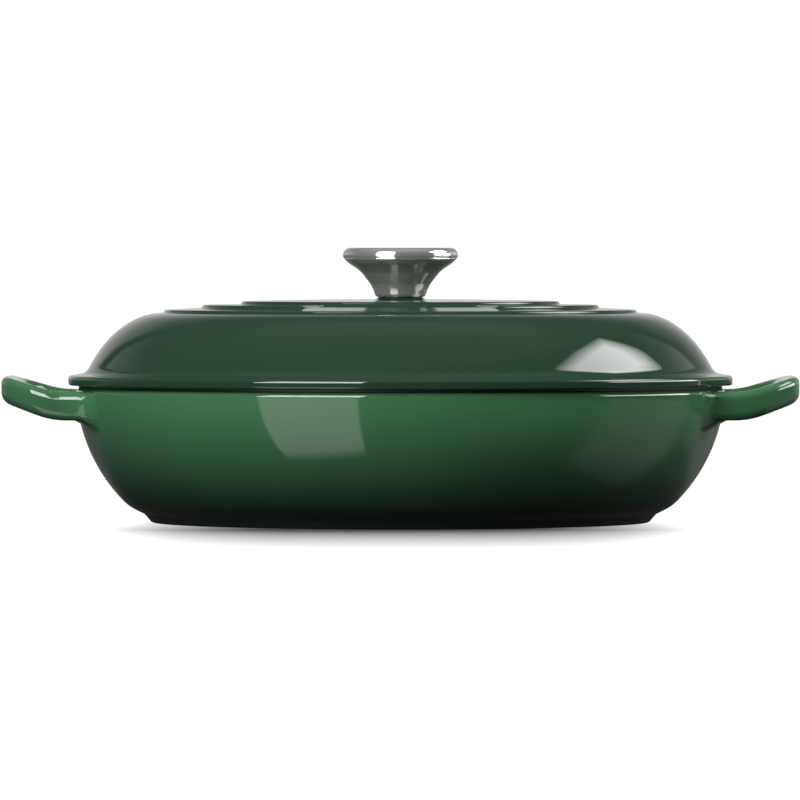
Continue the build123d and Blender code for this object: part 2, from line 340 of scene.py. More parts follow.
def brushed(name, shade, roughness, spacing, depth, metallic):
    """Turned or buffed metal: marks run round the axis, spacing apart."""
    material, tree, output = new_material(name)
    place = add(tree, "ShaderNodeTexCoord").outputs["Object"]
    axes = add(tree, "ShaderNodeSeparateXYZ", {0: place}).outputs
    squares = [maths(tree, "POWER", axes[axis], 2.0) for axis in ("X", "Y")]
    radius = maths(tree, "SQRT", maths(tree, "ADD", *squares))
    ringed = add(tree, "ShaderNodeCombineXYZ", {0: radius, 2: axes["Z"]}).outputs[0]
    rough = span(tree, noise(tree, place, 6 * MM, 2.0), 0.3, 0.7, 0.8 * roughness,
                 1.3 * roughness)
    surface(tree, output, noise(tree, ringed, spacing, 3.0), depth, {
        "Base Color": (*shade, 1.0), "Metallic": metallic, "Roughness": rough,
        "Anisotropic": 0.8, "Anisotropic Rotation": 0.25})
    return material


def steel_materials(finishes):
    """The steels of the knob and its fixing."""
    # Stainless steel, spun and buffed: a dark mirror with faint rings from the buffing wheel
    knob = brushed("Buffed stainless steel", finishes.steel, 0.11, 0.5 * MM, 0.0008 * MM, 0.84)
    # Zinc-plated steel, turned: a dull silver sheen
    plain = brushed("Turned zinc-plated steel", finishes.zinc, 0.28, 0.3 * MM, 0.002 * MM, 1.0)
    return knob, plain


def make_object(name, data):
    """An object for a mesh, a light or a camera, in the scene's collection."""
    thing = bpy.data.objects.new(name, data)
    bpy.context.scene.collection.objects.link(thing)
    return thing


def lathe_tree(materials):
    """Turns a section about the Z axis, lays the plaque flat, and sets its materials."""
    tree = bpy.data.node_groups.new("Turned piece", "GeometryNodeTree")
    for name, kind, subtype in (("Section", "Geometry", None), ("Segments", "Int", None),
                                ("Plaque radius", "Float", "DISTANCE"),
                                ("Plaque half width", "Float", "DISTANCE"),
                                ("Plaque edge", "Float", "DISTANCE"),
                                ("Plaque half angle", "Float", "ANGLE"),
                                ("Geometry", "Geometry", None)):
        socket = tree.interface.new_socket(name, in_out="OUTPUT" if name == kind else "INPUT",
                                           socket_type="NodeSocket" + kind)
        if subtype:
            socket.subtype = subtype
    make, calc = functools.partial(add, tree), functools.partial(maths, tree)
    given = make("NodeGroupInput").outputs

    rows = make("GeometryNodeAttributeDomainSize", {0: given["Section"]},
                component="MESH").outputs["Point Count"]
    around = calc("ADD", given["Segments"], 1.0)
    grid = make("GeometryNodeMeshGrid", {"Vertices X": rows, "Vertices Y": around})
    index = make("GeometryNodeInputIndex").outputs[0]
    row = calc("FLOOR", calc("DIVIDE", calc("ADD", index, 0.5), around))
    column = calc("SUBTRACT", index, calc("MULTIPLY", row, around))
    turned = calc("MULTIPLY_ADD", calc("DIVIDE", column, given["Segments"]), math.tau, -math.pi)

    def read(name, kind="FLOAT"):
        field = (make("GeometryNodeInputPosition") if name == "position" else
                 make("GeometryNodeInputNamedAttribute", {"Name": name}, data_type=kind))
        node = make("GeometryNodeSampleIndex", data_type=kind, domain="POINT")
        for source, socket in ((given["Section"], "Geometry"), (field.outputs[0], "Value"),
                               (row, "Index")):
            tree.links.new(source, node.inputs[socket])
        return node.outputs["Value"]

    place = make("ShaderNodeSeparateXYZ", {0: read("position", "FLOAT_VECTOR")}).outputs
    past = calc("SUBTRACT", calc("ABSOLUTE", turned), given["Plaque half angle"])
    past = calc("MAXIMUM", past, 0.0)
    side = calc("MULTIPLY", place["X"], calc("SINE", past))
    ahead = calc("SUBTRACT", calc("MULTIPLY", place["X"], calc("COSINE", past)),
                 given["Plaque radius"])
    away = calc("SQRT", calc("ADD", calc("MULTIPLY", side, side), calc("MULTIPLY", ahead, ahead)))
    inside = calc("SUBTRACT", given["Plaque half width"], away)
    share = span(tree, inside, 0.0, given["Plaque edge"], curve="SMOOTHSTEP")
    height = calc("MULTIPLY_ADD", share, read("lift"), place["Z"])
    spot = make("ShaderNodeCombineXYZ", {
        0: calc("MULTIPLY", place["X"], calc("SINE", turned)),
        1: calc("MULTIPLY", calc("MULTIPLY", place["X"], calc("COSINE", turned)), -1.0),
        2: height}).outputs[0]
    moved = make("GeometryNodeSetPosition", {"Geometry": grid.outputs["Mesh"],
                                             "Position": spot}).outputs[0]
    marked = make("GeometryNodeStoreNamedAttribute", {
        "Geometry": moved, "Name": "finish", "Value": read("finish")},
        data_type="FLOAT", domain="POINT").outputs[0]
    closed = make("GeometryNodeMergeByDistance", {"Geometry": marked,
                                                  "Distance": 0.002 * MM}).outputs[0]
    smooth = make("GeometryNodeSetShadeSmooth", {"Geometry": closed}).outputs[0]
    result = make("GeometryNodeRealizeInstances", {"Geometry": smooth}).outputs[0]
    for number, material in enumerate(materials):
        finish = make("GeometryNodeInputNamedAttribute", {"Name": "finish"},
                      data_type="FLOAT").outputs[0]
        chosen = calc("COMPARE", finish, float(number), 0.5)
        result = make("GeometryNodeSetMaterial", {
            "Geometry": result, "Selection": chosen, "Material": material}).outputs[0]
    tree.links.new(result, make("NodeGroupOutput").inputs[0])
    return tree


def turn_piece(name, section, finish, lift, materials, inputs):
    """A plain mesh turned from a section in millimetres, by a Geometry Nodes modifier."""
    mesh = bpy.data.meshes.new(name + "_section")
    points = [(radius * MM, 0.0, height * MM) for radius, height in section]
    mesh.from_pydata(points, [(k, k + 1) for k in range(len(points) - 1)], [])
    for attribute, values in (("finish", finish), ("lift", lift)):
        mesh.attributes.new(attribute, "FLOAT", "POINT").data.foreach_set(
            "value", np.array(values, np.float32))
    drawn = make_object(name + "_section", mesh)
    modifier = drawn.modifiers.new("Turned piece", "NODES")
    modifier.node_group = lathe_tree(materials)
    for item in modifier.node_group.interface.items_tree:
        if item.name in inputs:
            modifier[item.identifier] = inputs[item.name]
    graph = bpy.context.evaluated_depsgraph_get()
    turned = bpy.data.meshes.new_from_object(drawn.evaluated_get(graph))
    turned.name = name
    bpy.data.objects.remove(drawn)
    piece = make_object(name, turned)
    settle_normals(piece)
    return piece


def settle_normals(piece):
    """Turns all faces of a closed shell outwards."""
    shell = bmesh.new()
    shell.from_mesh(piece.data)
    bmesh.ops.recalc_face_normals(shell, faces=shell.faces)
    if shell.calc_volume(signed=True) < 0:
        bmesh.ops.reverse_faces(shell, faces=shell.faces)
    open_edges = sum(not edge.is_manifold for edge in shell.edges)
    shell.to_mesh(piece.data)
    shell.free()
    if open_edges:
        raise RuntimeError(f"{piece.name} has {open_edges} open edges")


def lid_section(sizes, rim_radius, rim_height, pot_wall):
    """The lid's section in millimetres, a closed loop, with its finish and the plaque's lift."""
    wall, run, rise = sizes.wall / MM, sizes.step_run / MM, sizes.step_rise / MM
    flange, under = sizes.flange_radius / MM, rim_height + 1.3
    shoulder = under + 4.4  # Top of the flange at its edge
    foot, blend = np.array((flange - 8.5, shoulder + 1.37)), 6.3
    rising, bowed, fine = 120.9, 117.9, 1.2  # Headings up its side, and the spacing there

    def side(inset):
        start = foot - inset * toward(rising - 90)
        knee = start + 13.4 * toward(rising)
        cheek, heading = arc(knee, rising, 33.7 - inset, 35.6)
        brow, heading = arc(cheek[-1], heading, 43.8 - inset, 18.5)
        if inset:
            return np.vstack((start, cheek, brow[1:])), heading
        # Outside, the straight part is cast with a slight bow, from the fillet at its foot on
        turn = math.radians(180 - bowed) - math.atan2(foot[1] - shoulder, flange - foot[0])
        low = start + blend * math.tan(turn / 2) * toward(bowed)
        low, heading = bend(low, bowed, knee, fine)
        cheek, heading = bend(knee, heading, cheek[-1], fine)
        brow, heading = bend(cheek[-1], heading, brow[-1], fine)
        return np.vstack((start, low, cheek[1:], brow[1:])), heading

    dome, _ = side(0.0)
    edge = dome[-1]
    climb = np.array((-run, rise))
    outer = edge + climb
    rise_start = outer + (-16.0, 0.8)
    inner_foot = rise_start + climb + (-16.6, 0.25)
    crown = inner_foot + climb
    top = crown[1] + 0.8
    turn = 2 * math.degrees(math.atan(rise / run))
    curl = run / (2 * math.sin(math.radians(turn)))

    def step(base):
        low, heading = arc(base, 180, curl, -turn)
        high, _ = arc(low[-1], heading, curl, turn)
        return np.vstack((low, high[1:]))[::-1]

    # The knob stands on a low seat round the hole for its screw, with a pad under it
    hole, lip, seat, pad = 3.5, (13.7, top), (10.4, top + 1.0), top - wall - 1.5
    skirt, hem = rim_radius - pot_wall - 1.5, rim_height - 5.0
    inner_dome, heading = side(wall)
    ceiling, _ = bend(inner_dome[-1], heading, (14.0, top - wall), most=4.0)
    above = outline((hole, seat[1]), (*seat, 0.3), bend(lip, 180, seat)[0][::-1][1:],
                    bend(lip, 0, crown)[0][1:], step(inner_foot), step(rise_start),
                    step(edge), dome[:0:-1], (*dome[0], blend), (flange, shoulder, 1.6),
                    (flange, under, 1.0), (rim_radius + 0.8, under))
    below = outline((rim_radius + 0.8, under), (rim_radius - 1.5, under, 0.4),
                    (rim_radius - 1.5, rim_height), (skirt, rim_height, 0.4),
                    (skirt, hem, 1.0), (skirt - 1.25, hem))
    within = outline((skirt - 1.25, hem), (skirt - 2.5, hem, 1.0), (*inner_dome[0], 2.0),
                     inner_dome[1:], ceiling[1:], (12.0, pad, 0.6), (hole, pad, 0.3),
                     (hole, seat[1]), most=4.0)
    section = np.vstack((above, below[1:], within[1:]))
    green, sand, black = 0.0, 1.0, 2.0
    finish = np.repeat((green, black, sand), (len(above), len(below) - 1, len(within) - 1))
    # The plaque runs straight from the foot of the outer ring's shelf to the crown's step
    radii, heights = section[:, 0], section[:, 1]
    slope = inner_foot[1] + (outer[1] - inner_foot[1]) * (radii - inner_foot[0]) / (
        outer[0] - inner_foot[0])
    flat = (radii > inner_foot[0]) & (radii < outer[0]) & (np.arange(len(section)) < len(above))
    return section, finish, np.where(flat, slope - heights, 0.0), outer[0], inner_foot[0]


class OBJECT_OT_braiser_lid(bpy.types.Operator):
    """Turns the lid from its section, with its rings and the bare plaque."""

    bl_idname = "object.braiser_lid"
    bl_label = "Lid"

    def execute(self, context):
        sizes, pot = context.scene.braiser_lid, context.scene.braiser_pot
        section, finish, lift, outer, inner = lid_section(
            sizes, pot.rim_radius / MM, pot.rim_height / MM, pot.wall / MM)
        _, lid_green, sand, black = enamel_materials(context.scene.braiser_finishes)
        middle, width = (outer + inner) / 2, outer - inner
        piece = turn_piece("lid_casting", section, finish, lift * MM, (lid_green, sand, black), {
            "Segments": sizes.segments, "Plaque radius": middle * MM,
            "Plaque half width": width / 2 * MM, "Plaque edge": sizes.plaque_edge,
            "Plaque half angle": (sizes.plaque_angle - width / middle) / 2})
        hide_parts("lid")
        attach(piece, "lid")
        return {"FINISHED"}


def knob_sections(sizes, base, rim):
    """Sections of the knob's body and cap in millimetres, from its base to its top."""
    roll, sheet, radius = sizes.roll / MM, sizes.sheet / MM, sizes.radius / MM
    centre, drop = radius - roll, 1.4
    hole = 5.55  # Radius of the hole in its base, for the bush
    crease = np.array((centre + math.sqrt(roll ** 2 - drop ** 2), rim))
    waist = np.array((sizes.waist / MM, base + 1.5))
    knee = crease - (4.35, 3.8)
    flare, heading = bow(waist, knee, 23.7)
    lip, _ = bend(knee, heading, crease)
    off = flare[1] - flare[0]
    lean = math.degrees(math.atan2(off[1], off[0])) + 1.3
    foot, _ = arc(waist, lean + 180, 1.5 / (1 - math.cos(math.radians(lean))), -lean)
    inward = crease - (sheet * 1.15, 0.0)
    body = outline((hole, base), foot[::-1], flare[1:], lip[1:], inward, knee + (-0.9, 1.1),
                   waist + (-sheet, 0.6), (waist[0] - sheet, base + sheet),
                   (hole, base + sheet), (hole, base))
    start = -math.degrees(math.asin(drop / roll))
    edge, _ = arc(crease, start + 90, roll, 90 - start)
    level = rim + drop
    inside = roll - sheet
    top = level + roll
    dish, _ = bend((0.0, top - sizes.dish / MM), 0, (centre, top), most=3.0)
    cap = outline((0.0, level + inside - 0.5), (centre, level + inside),
                  (centre + inside, level), (inward[0], rim), crease, edge[1:],
                  dish[::-1][1:], most=3.0)
    return body, cap


class OBJECT_OT_braiser_knob(bpy.types.Operator):
    """Turns the knob's spun body and its rolled cap."""

    bl_idname = "object.braiser_knob"
    bl_label = "Knob"

    def execute(self, context):
        sizes = context.scene.braiser_knob
        steel, _ = steel_materials(context.scene.braiser_finishes)
        sections = knob_sections(sizes, knob_box[0].z / MM, knob_box[1].z / MM)
        for name, node, section in zip(("knob_flared_body", "knob_rolled_cap"),
                                       ("knob_body", "knob_cap"), sections):
            flat = np.zeros(len(section))
            piece = turn_piece(name, section, flat, flat, (steel,), {
                "Segments": sizes.segments, "Plaque radius": 1.0, "Plaque half width": 0.0,
                "Plaque edge": 1.0 * MM, "Plaque half angle": 0.0})
            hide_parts(node)
            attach(piece, "lid")
        return {"FINISHED"}


def pot_section(sizes):
    """The pot's section in millimetres, from under its middle to the middle of its floor."""
    rim, height, wall = sizes.rim_radius / MM, sizes.rim_height / MM, sizes.wall / MM
    foot, floor = sizes.foot_radius / MM, sizes.floor_level / MM
    land, hollow = 14.0, 0.8  # Width of the land it stands on, and height of the base inside it
    neck, hip = (np.array((foot, 0.0)) + offset for offset in (POT_NECK, POT_HIP))
    side, heading = bend((rim, height), POT_HEADING, hip, most=1.2)
    turn, _ = bend(hip, heading, neck, most=1.5)
    inner, heading = bend((rim - wall, height), POT_HEADING, hip - wall * toward(heading + 90))
    radius = (inner[-1][1] - floor) / (1 - math.cos(math.radians(heading - 180)))
    sweep, _ = arc(inner[-1], heading, radius, 180 - heading)
    # The roundings of the rim take up the tops of both sides
    side = side[side[:, 1] < height - 3.0]
    inner = inner[inner[:, 1] < height - 2.0]
    return outline((0.0, hollow), (foot - land - 0.8, hollow, 0.5), (foot - land, 0.0, 0.5),
                   (foot, 0.0, 2.0), (foot + 3.5, 4.0, 3.0), turn[::-1], side[::-1][1:],
                   (rim, height, RIM_ROUNDING), (rim - wall, height, 0.8), inner, sweep[1:],
                   (0.0, floor), most=4.0)


class Handle:
    """The handle towards +X as a solid that can be measured from, in millimetres."""

    tall, edge, bow = 13.5, 3.8, 2.5  # Height and rounding of the strap, and bow of its end
    bend_radius, top_lift, low_lift = 40.0, 16.8, 19.5  # How both its sides are bent up

    def __init__(self, sizes):
        self.rim, self.height = sizes.rim_radius / MM, sizes.rim_height / MM
        self.end, self.strap = sizes.handle_end / MM, sizes.strap / MM
        self.root = self.rim - 25.0
        self.root_half, self.end_half = (sizes.handle_root_width / MM / 2,
                                         sizes.handle_end_width / MM / 2)
        self.blend, self.bend = sizes.blend / MM, self.rim + 2.8
        self.top = self.height - 1.3
        self.low = self.top - self.tall
        # The pot's side is an arc, through three of whose points runs one circle
        wall, _ = bend((self.rim, self.height), POT_HEADING,
                       (sizes.foot_radius / MM + POT_HIP[0], POT_HIP[1]))
        first, others = wall[0], wall[[len(wall) // 2, -1]]
        self.centre = np.linalg.solve(others - first, ((others ** 2).sum(1) - first @ first) / 2)
        self.radius = math.dist(first, self.centre)

    def swing(self, x, lift):
        """Angle at x of the top or low side of the strap, which is bent up to lift."""
        return np.arcsin(np.clip((x - self.bend) / self.bend_radius, 0.0,
                                 math.sin(math.radians(lift))))

    def level(self, x, base, lift):
        """Height of the top or low side of the strap: level, then bent up by lift."""
        rise = math.radians(lift)
        straight = np.maximum(x - self.bend - self.bend_radius * math.sin(rise), 0.0)
        return (base + self.bend_radius * (1 - np.cos(self.swing(x, lift)))
                + straight * math.tan(rise))

    def rounded(self, first, second, rounding):
        """Where two solids overlap, with the corner rounded."""
        return (np.minimum(np.maximum(first, second) + rounding, 0.0) - rounding
                + np.hypot(np.maximum(first + rounding, 0.0), np.maximum(second + rounding, 0.0)))

    def plan(self, x, y, inset, rounding):
        """How far a point is outside the handle's outline from above, drawn in by inset."""
        end, bow = self.end - inset, self.bow
        root_half, end_half = self.root_half - inset, self.end_half - inset
        taper = math.atan((root_half - end_half) / (end - bow - self.root))
        beside = (np.abs(y) - root_half) * math.cos(taper) + (x - self.root) * math.sin(taper)
        radius = (end_half ** 2 + bow ** 2) / (2 * bow)
        beyond = np.hypot(x - (end - radius), y) - radius
        return self.rounded(beside, beyond, rounding)

    def outside(self, points):
        """How far points are outside the pot with its handle; zero is the surface."""
        x, y, z = points.T
        side = np.hypot(np.hypot(x, y) - self.centre[0], z - self.centre[1]) - self.radius
        body = self.rounded(side, z - self.height, RIM_ROUNDING)
        strip = np.maximum(self.plan(x, y, 0.0, 21.0), -self.plan(x, y, self.strap, 12.0))
        over = (z - self.level(x, self.top, self.top_lift)) * np.cos(self.swing(x, self.top_lift))
        under = (self.level(x, self.low, self.low_lift) - z) * np.cos(self.swing(x, self.low_lift))
        loop = self.rounded(strip, np.maximum(over, under), self.edge)
        # The fillet shrinks to 0.9 mm where it nears the pot's rim
        fade = np.clip((z - 57.0) / 5.2, 0.0, 1.0)
        fillet = self.blend + (0.9 - self.blend) * fade * fade * (3 - 2 * fade)
        return (np.maximum(fillet, np.minimum(body, loop))
                - np.hypot(np.maximum(fillet - body, 0.0), np.maximum(fillet - loop, 0.0)))

    def settle(self, points):
        """Moves points onto the surface."""
        probe = 0.005
        for _ in range(24):
            slope = np.stack([(self.outside(points + step) - self.outside(points - step))
                              for step in probe * np.eye(3)], 1) / (2 * probe)
            steep = np.maximum((slope ** 2).sum(1), 0.25)
            points = points - 0.8 * (self.outside(points) / steep)[:, None] * slope
        return points

    def section(self, across, up):
        """Points round the strap's section, as offsets outwards and shares of its height."""
        wide, tall, steps = self.strap / 2 - self.edge, self.tall / 2 - self.edge, 13
        loop = [(x + self.edge * math.cos(swing), z + self.edge * math.sin(swing))
                for x, z, start in ((wide, tall, 90), (wide, -tall, 0), (-wide, -tall, -90),
                                    (-wide, tall, 180))
                for swing in np.radians(start - 90 * np.arange(steps) / (steps - 1))]
        # The loop starts and ends in the middle of a rounded corner
        loop = np.array(loop[steps // 2:] + loop[:steps // 2 + 1])
        along = np.append(0.0, np.cumsum(np.linalg.norm(np.diff(loop, axis=0), axis=1)))
        corners = along[::steps]
        places = np.concatenate([np.linspace(corners[side], corners[side + 1], count + 1)[:-1]
                                 for side, count in enumerate((up, across, up, across))])
        return np.stack([np.interp(places, along, loop[:, axis]) for axis in (0, 1)], 1)

    def path(self):
        """The middle of the strap from above, from one leg round the end to the other."""
        inset = self.strap / 2
        first = self.rim + 8.5
        taper = (self.root_half - self.end_half) / (self.end - self.bow - self.root)
        half = self.end_half - inset
        arm = self.root_half - inset - taper * (first - self.root)
        corner = self.end - self.bow - inset
        radius = (half ** 2 + self.bow ** 2) / (2 * self.bow)
        sides = np.linspace(0.62 * half, 0.0, 14)
        end = np.stack((self.end - inset - radius + np.sqrt(radius ** 2 - sides ** 2), sides), 1)
        one = outline((first, arm), (corner, half, self.strap + 6.0), end, near=1.0)
        return np.vstack((one, (one * (1, -1))[::-1][1:]))


def pot_mesh(sizes, materials):
    """The pot turned in rings of faces, with each handle's legs let into the wall."""
    section, handle, columns = pot_section(sizes), Handle(sizes), sizes.columns
    rows, height = len(section), sizes.rim_height / MM
    top = int(np.argmax(section[:, 1] > height - 1e-6))
    # Each leg takes the place of the wall's faces from the row low to top, over 2 half columns
    leg_low, leg_angle = 38.0, 18.28
    low = int(np.argmin(np.abs(section[:top, 1] - leg_low)))
    half, leg = columns // 64, round(columns * leg_angle / 360)
    turned = np.arange(columns) * math.tau / columns
    ring = np.stack((np.cos(turned), np.sin(turned)), 1)
    points = [np.array([(0.0, 0.0, section[0][1])])]
    points += [np.column_stack((radius * ring, np.full(columns, z)))
               for radius, z in section[1:-1]]
    points.append(np.array([(0.0, 0.0, section[-1][1])]))
    last = 1 + (rows - 2) * columns

    def at(row, column):
        return 1 + (row - 1) * columns + column % columns

    holes = set()
    for turn in (0, columns // 2):
        for side in (1, -1):
            for place in range(-half, half):
                column = side * leg + place
                holes.update((row, (turn + column) % columns) for row in range(low, top))
    rim_inside = int(np.argmax((section[:, 0] < sizes.rim_radius / MM - sizes.wall / MM + 0.75)
                               & (np.arange(rows) > top)))
    faces, kinds = [], []
    for column in range(columns):
        faces.append((0, at(1, column + 1), at(1, column)))
        faces.append((last, at(rows - 2, column), at(rows - 2, column + 1)))
        kinds += [0, 1]
        for row in range(1, rows - 2):
            if (row, column) not in holes:
                faces.append((at(row, column), at(row, column + 1),
                              at(row + 1, column + 1), at(row + 1, column)))
                kinds.append(0 if row < top else 2 if row < rim_inside else 1)
    count = last + 1
    path = handle.path()
    ahead = np.gradient(path, axis=0)
    ahead /= np.linalg.norm(ahead, axis=1)[:, None]
    outwards = np.stack((-ahead[:, 1], ahead[:, 0]), 1)
    shape = handle.section(2 * half, top - low)
    strap = []
    for place, normal in zip(path, outwards):
        flat = place + shape[:, :1] * normal
        upper = handle.level(flat[:, 0], handle.top, handle.top_lift)
        lower = handle.level(flat[:, 0], handle.low, handle.low_lift)
        strap.append(np.column_stack((flat, (upper + lower) / 2
                                      + shape[:, 1] / handle.tall * (upper - lower))))
    edge = ([(row, half) for row in range(top, low, -1)]
            + [(low, place) for place in range(half, -half, -1)]
            + [(row, -half) for row in range(low, top)]
            + [(top, place) for place in range(-half, half)])
    grid = np.vstack(points)
    bridges = 16
    for turn, sign in ((0, 1.0), (columns // 2, -1.0)):
        legs = [[at(row, turn + side * (leg + place)) for row, place in edge] for side in (1, -1)]
        flip = np.array((sign, sign, 1.0))
        first, final = grid[legs[0]] * flip, grid[legs[1]] * flip
        shares = (np.arange(1, bridges) / bridges) ** 1.7
        rings = ([first + share * (strap[0] - first) for share in shares] + strap
                 + [final + share * (strap[-1] - final) for share in shares[::-1]])
        around = len(edge)
        settled = handle.settle(np.vstack(rings)) * flip
        numbers = [legs[0]] + [list(range(count + k * around, count + (k + 1) * around))
                               for k in range(len(rings))] + [legs[1]]
        points.append(settled)
        count += len(settled)
        for one, two in zip(numbers, numbers[1:]):
            faces += [(one[k], one[(k + 1) % around], two[(k + 1) % around], two[k])
                      for k in range(around)]
            kinds += [0] * around
    points = np.vstack(points) * MM
    used = np.unique(np.concatenate(faces))
    place = np.full(len(points), -1)
    place[used] = np.arange(len(used))
    mesh = bpy.data.meshes.new("pot_casting")
    mesh.from_pydata(points[used].tolist(), [], [place[list(face)].tolist() for face in faces])
    for material in materials:
        mesh.materials.append(material)
    mesh.polygons.foreach_set("material_index", kinds)
    mesh.polygons.foreach_set("use_smooth", [True] * len(kinds))
    return mesh


class OBJECT_OT_braiser_pot(bpy.types.Operator):
    """Makes the pot casting with its two looped handles."""

    bl_idname = "object.braiser_pot"
    bl_label = "Pot"

    def execute(self, context):
        green, _, sand, black = enamel_materials(context.scene.braiser_finishes)
        piece = make_object("pot_casting",
                            pot_mesh(context.scene.braiser_pot, (green, sand, black)))
        settle_normals(piece)
        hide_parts("pot")
        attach(piece, "pot")
        return {"FINISHED"}


class OBJECT_OT_braiser_fixing(bpy.types.Operator):
    """Gives the knob's bush, screw and washers their steel."""

    bl_idname = "object.braiser_fixing"
    bl_label = "Fixing"

    def execute(self, context):
        _, plain = steel_materials(context.scene.braiser_finishes)
        for name in ("knob_bush", "knob_screw", "screw_flat_washer", "screw_lock_washer"):
            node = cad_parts[name]
            node.data.materials.clear()
            node.data.materials.append(plain)
        return {"FINISHED"}


def point(thing, place, aim):
    """Puts a light or camera at a place and turns it to look at another."""
    thing.location = place
    thing.rotation_mode = "QUATERNION"
    thing.rotation_quaternion = (Vector(aim) - Vector(place)).to_track_quat("-Z", "Y")


def softbox(name, place, aim, size, power):
    """A rectangular soft light that the camera doesn't see."""
    lamp = bpy.data.lights.new(name, "AREA")
    lamp.shape = "RECTANGLE"
    lamp.size, lamp.size_y = size
    lamp.energy = power
    thing = make_object(name, lamp)
    point(thing, place, aim)
    thing.visible_camera = False
    return thing


def square(half, height):
    """Corners of a level square about the Z axis."""
    return [(x, y, height) for x, y in ((-half, -half), (half, -half), (half, half),
                                        (-half, half))]


def card(name, corners, material):
    """A flat piece of the studio."""
    mesh = bpy.data.meshes.new(name)
    mesh.from_pydata(corners, [], [range(len(corners))])
    mesh.materials.append(material)
    thing = make_object(name, mesh)
    return thing


def glow(tree, strength):
    """A white light."""
    return add(tree, "ShaderNodeEmission", {"Color": (1, 1, 1, 1), "Strength": strength}).outputs[0]


def see_through(tree, output, share, shader):
    """Puts a shader on the output, which is clear where share is 0."""
    clear = add(tree, "ShaderNodeBsdfTransparent").outputs[0]
    mix = add(tree, "ShaderNodeMixShader", {0: share, 1: clear, 2: shader})
    tree.links.new(mix.outputs[0], output.inputs[0])


def reflection(name, left, right, near, far, strength, soft):
    """A glowing upright card between two heights that only mirror-like surfaces see.

    It fades away towards the height far, and over the share soft at its left and right."""
    material, tree, output = new_material(name)
    places = add(tree, "ShaderNodeTexCoord").outputs
    height = add(tree, "ShaderNodeSeparateXYZ", {0: places["Object"]}).outputs["Z"]
    along = add(tree, "ShaderNodeSeparateXYZ", {0: places["Generated"]}).outputs["X"]
    fading = maths(tree, "MULTIPLY", span(tree, height, far, 0.7 * far, curve="SMOOTHSTEP"),
                   span(tree, maths(tree, "PINGPONG", along, 0.5), 0.0, soft,
                        curve="SMOOTHSTEP"))
    see_through(tree, output, fading, glow(tree, strength))
    material.cycles.emission_sampling = "NONE"
    thing = card(name, [(*left, near), (*right, near), (*right, far), (*left, far)], material)
    thing.visible_camera = thing.visible_diffuse = thing.visible_shadow = False


